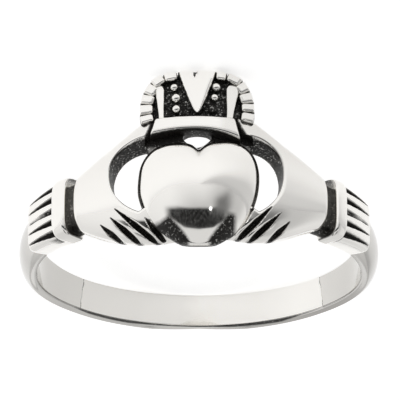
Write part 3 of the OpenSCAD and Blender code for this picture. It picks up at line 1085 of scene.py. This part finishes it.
        # The wall keeps the streaks of the file
        turn = np.arctan2(co[:, 1] - 0.5, front - side)
        streak = mix(0.07, 0.02, share(0.7, 1.4, co[:, 1]))
        wall *= 1 - streak + streak * np.sin(41 * turn + 3 * np.sin(9 * turn))
        sunk = inside(front, co[:, 1], over_lobes * 1.02) * share(1.35, 1.2, co[:, 2])
        blacken_and_shade(skin, np.maximum(np.maximum(dark, wall), sunk) * (co[:, 2] > 0.015))
        # Painted shade, growing towards the thumb, deeper on the right hand
        painted_shade(skin, carving["shaded"] * share(-1.0, 2.5, co[:, 1]))
        if which == "left":
            turn_over(skin)
        finish(skin, name)


class RING_OT_heart(bpy.types.Operator):
    """Models the domed heart, whose cleft fades out as the dome rises"""

    bl_idname = "ring.heart"
    bl_label = "Heart"

    def execute(self, context):
        h = in_mm(context.scene.ring_heart)
        around = 360
        outline = evenly(heart_outline(h), around, closed=True)
        reach = np.arange(-60, 61)
        weight = np.exp(-0.5 * (reach / 20) ** 2)
        weight /= weight.sum()
        soft = sum(w * np.roll(outline, -i, axis=0) for w, i in zip(weight, reach))
        middle = np.array([0, mix(h.lobes - h.long, h.lobes, 0.58)])
        rows = 130

        def place(t, n):
            n = n % around
            foot = share(0, 0.06, t)
            wall = share(0.06, 0.24, t)
            turn = math.pi / 2 * share(0.24, 1, t)
            inward = np.cos(turn) ** 0.9
            size = np.where(t < 0.24, mix(0.905, 1, wall) * foot, inward)
            fade = ease(share(0, 0.38, 1 - size)) * (t > 0.24)
            x = size * mix(outline[n, 0], soft[n, 0], fade)
            y = middle[1] + size * (mix(outline[n, 1], soft[n, 1], fade) - middle[1])
            z = np.where(t < 0.24, mix(0.03, h.rim, wall), h.rim + h.rise * np.sin(turn) ** 1.1)
            return x, y, z

        heart = lay_skin("heart", rows, around, place)
        co = points_of(heart)
        below = share(h.rim - 0.05, h.rim - 0.3, co[:, 2]) * (co[:, 2] > 0.06)
        # A painted dark reflection on the lower dome's flanks
        inner = mix(1.4, 0.45, share(-2.2, -3.4, co[:, 1]))
        top = mix(-2.3, -1.95, share(-2.0, -1.2, co[:, 0]))
        painted_reflection = share(top, top - 0.25, co[:, 1]) * share(2.05, 1.8, co[:, 0])
        painted_reflection *= share(inner, inner + 0.2, np.abs(co[:, 0]))
        blacken_and_shade(heart, np.maximum(0.95 * below, painted_reflection * (co[:, 2] > 0.06)))
        # The cleft runs out as a soft crease on the dome
        crease = share(0.8, h.lobes - h.cleft, co[:, 1])
        near = np.abs(co[:, 0]) / mix(0.05, 0.24, crease)
        # Painted shade in the crease and over the dome's right side; the tip is darker at and below its rim
        # too
        shaded = 1.5 * share(0, 0.8, crease) * np.exp(-(np.abs(co[:, 0]) / mix(0.1, 0.3, crease)) ** 1.5)
        right = share(0.6, 2.5, co[:, 0]) * share(-1.3, -0.3, co[:, 1]) * share(2.1, 0.9, co[:, 1])
        shaded = np.maximum(shaded, 0.25 * right)
        shaded = np.maximum(shaded, 0.7 * share(-3.0, -3.3, co[:, 1]) * share(h.rim + 0.03, h.rim, co[:, 2]))
        painted_shade(heart, shaded)
        co[:, 2] -= 0.22 * crease ** 1.1 * np.exp(-near ** 1.5) * share(h.rim - 0.2, h.rim + 0.3, co[:, 2])
        co[:, 1] += 0.035 * co[:, 0] * share(0, 1.5, co[:, 1])
        fuller = ease(share(0.6, -0.8, co[:, 1])) * ease(share(-3.2, -1.9, co[:, 1]))
        co[:, 0] -= 0.12 * fuller * share(0, -2.5, co[:, 0])
        co[:, 0] = round_way(0.985 * co[:, 0], co[:, 2])
        move_points(heart, co)
        finish(heart, "heart", 60)
        return {"FINISHED"}


def rib(name, path, half, top, low, power, rows, around):
    """A rounded rib along a path in the flat, with a half width and a top height at each even step."""
    path = evenly(np.array(path, float), len(half))
    way = np.gradient(path, axis=0)
    side = np.column_stack([-way[:, 1], way[:, 0]]) / np.hypot(way[:, 0], way[:, 1])[:, None]
    across, foot, arch = section(max(half), low, max(top), around, power, 8.0, low + 0.15)
    steps = np.linspace(0, 1, len(half))

    def place(t, n):
        wide = np.interp(t, steps, half) * across[n]
        x = np.interp(t, steps, path[:, 0]) + wide * np.interp(t, steps, side[:, 0])
        y = np.interp(t, steps, path[:, 1]) + wide * np.interp(t, steps, side[:, 1])
        z = mix(mix(low + 0.15, low, foot[n]), np.interp(t, steps, top), arch[n])
        return x, y, z

    return lay_skin(name, rows, around, place, merge=0.0005)


class RING_OT_crown(bpy.types.Operator):
    """Models the crown: its ground, base bar, centre fan, petals, beads and lobed rim, cast as one"""

    bl_idname = "ring.crown"
    bl_label = "Crown"

    def execute(self, context):
        c = in_mm(context.scene.ring_crown)
        side = c.width / 2
        outline = evenly(crown_outline(c), 300, closed=True)
        middle = mix(c.bar, c.top, 0.5)

        def ground_place(t, n):
            n = n % len(outline)
            size = np.interp(t, [0, 0.1, 0.5, 0.7, 1], [0, 1, 1, 0.97, 0])
            z = np.interp(t, [0.1, 0.5, 0.6], [0.02, c.ground - 0.08, c.ground])
            return outline[n, 0] * size, middle + (outline[n, 1] - middle) * size, z

        def dark_foot(piece, low, high):
            """Blackens the foot of a raised piece of ornament."""
            z = points_of(piece)[:, 2]
            blacken_and_shade(piece, share(high, low, z) * (z > 0.1))
            return piece

        ground = lay_skin("ground", 90, len(outline), ground_place)
        co = points_of(ground)
        within = depth_inside(co[:, 0], co[:, 1], outline)
        foot = share(c.bar + 0.7, c.bar + 0.6, co[:, 1])
        blacken_and_shade(ground, np.maximum(share(0.0, 0.08, within), foot) * (co[:, 2] > 0.1))
        # The sunk ground keeps the grain of the mould
        x, y = co[:, :2].T
        grain = sum(np.sin(k * 8.3 * (x * math.cos(k) + y * math.sin(k)) + k) for k in range(2, 8))
        co[:, 2] += 0.014 * grain * share(0.9, 0.97, co[:, 2]) * share(0.05, 0.15, within)
        move_points(ground, co)
        pieces = [ground]
        bar_high = c.bar + c.bar_wide + 0.05
        rise = c.top - bar_high
        across, foot, arch = section(0.4, 0.6, c.ornament, 80, 6.0, 8.0, 0.75)

        def bar_edges(s):
            ends = np.where(s < 0, CROWN_CARVING["left"]["ends"], CROWN_CARVING["right"]["ends"])
            return c.bar - 0.09 - ends * np.abs(s) ** 2.2, bar_high - 0.07 - 0.04 * s * s

        def bar_place(t, n):
            s = 2 * t - 1
            blunt = np.sqrt(1 - np.clip((np.abs(s) - 0.94) / 0.06, 0, 1) ** 2)
            low, high = bar_edges(s)
            y = mix(low, high, 0.5 + 0.5 * across[n] * mix(0.85, 1, blunt))
            x = s * mix(0.81, 0.705, share(low, high, y)) * side - 0.1
            z = mix(mix(0.75, 0.6, foot[n]), mix(c.ornament - 0.2, c.ornament + 0.05, blunt), arch[n])
            return x, y, z

        bar = lay_skin("bar", 110, 80, bar_place, merge=0.0005)
        x, y, z = points_of(bar).T
        low, high = bar_edges(np.clip((x + 0.1) / (0.76 * side), -1, 1))
        upper_rim = share(high - 0.04, high, y) * share(1.46, 1.38, z)
        rims = np.maximum(share(low + 0.13, low + 0.07, y), upper_rim)
        blacken_and_shade(bar, np.maximum(rims, share(1.3, 1.2, z)))
        pieces.append(bar)

        # The fan flares in a soft curve from its round foot. Its widths are for a half width of 2.975
        t = np.linspace(0, 1, 31)
        flare = np.interp(
            t, [0, 0.04, 0.12, 0.3, 0.5, 0.68, 0.85, 1], [0.05, 0.17, 0.27, 0.45, 0.62, 0.78, 0.93, 1.02]
        )
        fan = rib(
            "fan", [(0, bar_high + 0.1), (0, c.top - 0.04)], flare / 2.975 * side,
            np.full_like(t, c.ornament), 0.6, 6.0, 90, 120,
        )
        co = points_of(fan)
        mouth = mix(0.01, 0.09, share(c.top - 0.42, c.top - 0.1, co[:, 1]))
        notch = share(mouth, 0.5 * mouth, np.abs(co[:, 0] + 0.13)) * (co[:, 1] > c.top - 0.42)
        co[:, 2] -= 0.25 * notch * (co[:, 2] > 1.2)
        move_points(fan, co)
        walls = share(1.3, 1.15, co[:, 2]) * (co[:, 1] < c.top - 0.08)
        blacken_and_shade(fan, np.maximum(walls, 0.9 * share(0.3, 0.6, notch)))
        pieces.append(fan)

        spots = evenly(crown_rim(c, 40), 400)
        along = np.gradient(spots, axis=0)
        rim_long = np.hypot(*np.diff(spots, axis=0).T).sum()
        s = np.linspace(0, 1, 25)
        inner_round = np.sqrt(1 - np.clip((s - 0.7) / 0.31, 0, 1) ** 2)
        outer_round = np.sqrt(1 - np.clip((0.12 - s) / 0.125, 0, 1) ** 2)
        lobe_top = c.ornament - 0.02 - 0.2 * (1 - inner_round) - 0.05 * (1 - outer_round)

        for which, way in (("left", -1), ("right", 1)):
            carving = CROWN_CARVING[which]
            inner, outer_foot, outer_top = [way * side * v for v in carving["petal"]]
            t = np.linspace(0, 1, 25)
            round_end = np.sqrt(1 - np.clip((t - 0.8) / 0.205, 0, 1) ** 2)
            half = np.abs(mix(outer_foot, outer_top, ease(t)) - inner) / 2 * round_end
            middles = (mix(outer_foot, outer_top, t) + inner) / 2
            path = np.column_stack([middles, mix(bar_high - 0.2, bar_high + 0.73 * rise, t)])
            top = c.ornament - 0.05 - 0.25 * (1 - round_end)
            pieces.append(dark_foot(rib("petal", path, half, top, 0.6, 4.5, 60, 60), 1.12, 1.25))
            for x, high, wide, black in carving["beads"]:
                spot = (way * x * side, bar_high + high * rise, c.ground + 0.17)
                bpy.ops.object.select_all(action="DESELECT")
                bpy.ops.mesh.primitive_uv_sphere_add(
                    segments=24, ring_count=14, radius=wide * c.bead / 2, location=spot
                )
                bpy.ops.object.transform_apply(location=True)
                pieces.append(dark_foot(context.object, 1.14 + black * 0.3, 1.22 + black * 0.3))

            # Rim lobes stand square to the rim and run in from it, with only a crack between them
            for start, end in zip(carving["rim"], carving["rim"][1:]):
                n = int((start + end) / 2 * (len(spots) - 1))
                inward = np.array([along[n, 1], -along[n, 0]]) / np.hypot(*along[n])
                deep = mix(0.45, 0.66, share(0.3, 0.6, start))
                a = spots[n] - 0.02 * inward
                b = spots[n] + deep * inward
                half = (end - start) / 2 * rim_long - 0.015
                half = half * mix(0.72, 1, inner_round) * mix(0.92, 1, outer_round) * mix(1, 0.9, s)
                path = [(way * a[0], a[1]), (way * b[0], b[1])]
                pieces.append(dark_foot(rib("lobe", path, half, lobe_top, 0.8, 5.0, 40, 72), 1.3, 1.4))

        crown = join("crown", pieces)
        co = points_of(crown)
        # Painted shade over the whole crown, deeper on its right side
        painted_shade(crown, mix(0.06, 0.3, share(1.1, 1.5, co[:, 0])))
        co[:, 0] = round_way(co[:, 0] + CROWN_ASIDE, co[:, 2])
        move_points(crown, co)
        finish(crown, "crown", 60)
        return {"FINISHED"}


class RING_OT_stage(bpy.types.Operator):
    """Lays the pale floor, lit from below, and sets the light tent and the small lamp round it"""

    bl_idname = "ring.stage"
    bl_label = "Stage"

    def execute(self, context):
        bpy.ops.object.select_all(action="DESELECT")
        bpy.ops.mesh.primitive_plane_add(size=3)
        floor = context.object
        floor.name = "floor"
        acrylic = bpy.data.materials.new("opal acrylic, lit from below")
        acrylic.use_nodes = True
        tree = acrylic.node_tree
        shader = tree.nodes["Principled BSDF"]
        shader.inputs["Base Color"].default_value = colour(context.scene.ring_finish.floor)
        shader.inputs["Roughness"].default_value = 0.9
        shader.inputs["Specular IOR Level"].default_value = 0.0
        shader.inputs["Emission Color"].default_value = (1, 1, 1, 1)

        # The light under it falls off far away, and sooner on the picture's right
        place = add_node(tree, "ShaderNodeTexCoord").outputs["Object"]
        far = add_node(tree, "ShaderNodeVectorMath", {"operation": "LENGTH"}, {0: place})
        part = add_node(tree, "ShaderNodeSeparateXYZ", None, {0: place})
        right = add_node(
            tree, "ShaderNodeMapRange",
            {"interpolation_type": "SMOOTHSTEP", "From Min": -11 * MM, "From Max": -36 * MM,
             "To Min": 0.0, "To Max": 0.39},
            {"Value": part.outputs["X"]},
        )
        pad = add_node(
            tree, "ShaderNodeMapRange",
            {"interpolation_type": "SMOOTHSTEP", "From Min": 40 * MM, "From Max": 200 * MM,
             "To Min": 0.56, "To Max": 0.435},
            {"Value": far.outputs["Value"]},
        )
        glow = add_node(
            tree, "ShaderNodeMath", {"operation": "SUBTRACT"},
            {0: pad.outputs["Result"], 1: right.outputs["Result"]},
        )
        tree.links.new(glow.outputs[0], shader.inputs["Emission Strength"])
        floor.data.materials.append(acrylic)

        context.scene.world = light_tent("light tent")
        self.lamp("spark", HOLE_CENTRE + SPARK_WAY * SPARK_AWAY, 0.026, 0.009)
        context.scene.view_settings.view_transform = "Standard"
        return {"FINISHED"}

    @staticmethod
    def lamp(name, spot, size, watts):
        """A square soft box that faces the ring."""
        turn = (spot - HOLE_CENTRE).to_track_quat("Z", "Y").to_euler()
        bpy.ops.object.light_add(type="AREA", location=spot, rotation=turn)
        lamp = bpy.context.object
        lamp.name = name
        lamp.data.size = size
        lamp.data.energy = watts


class RING_PT_panel(bpy.types.Panel):
    """The ring's pieces and sizes"""

    bl_label = "Claddagh Ring"
    bl_idname = "RING_PT_panel"
    bl_space_type = "VIEW_3D"
    bl_region_type = "UI"
    bl_category = "Ring"

    def draw(self, context):
        layout = self.layout
        for step in STEPS:
            layout.operator(f"ring.{step}")
        for group in GROUPS:
            box = layout.box()
            settings = getattr(context.scene, group)
            for key in settings.__annotations__:
                box.prop(settings, key)


# The operators in the order in which main runs them
STEPS = ("camera", "material", "shank", "cuffs", "hands", "heart", "crown", "stage")
GROUPS = {
    "ring_heart": RingHeartSizes,
    "ring_hands": RingHandSizes,
    "ring_cuffs": RingCuffSizes,
    "ring_crown": RingCrownSizes,
    "ring_finish": RingFinish,
}
CLASSES = (
    RING_OT_camera, RING_OT_material, RING_OT_shank, RING_OT_cuffs, RING_OT_hands, RING_OT_heart,
    RING_OT_crown, RING_OT_stage, RING_PT_panel,
)


def register():
    for cls in (*GROUPS.values(), *CLASSES):
        bpy.utils.register_class(cls)
    for name, cls in GROUPS.items():
        setattr(bpy.types.Scene, name, bpy.props.PointerProperty(type=cls))


def unregister():
    for name in GROUPS:
        delattr(bpy.types.Scene, name)
    for cls in reversed((*GROUPS.values(), *CLASSES)):
        bpy.utils.unregister_class(cls)


def main():
    register()
    for step in STEPS:
        getattr(bpy.ops.ring, step)()


if __name__ == "__main__":
    main()
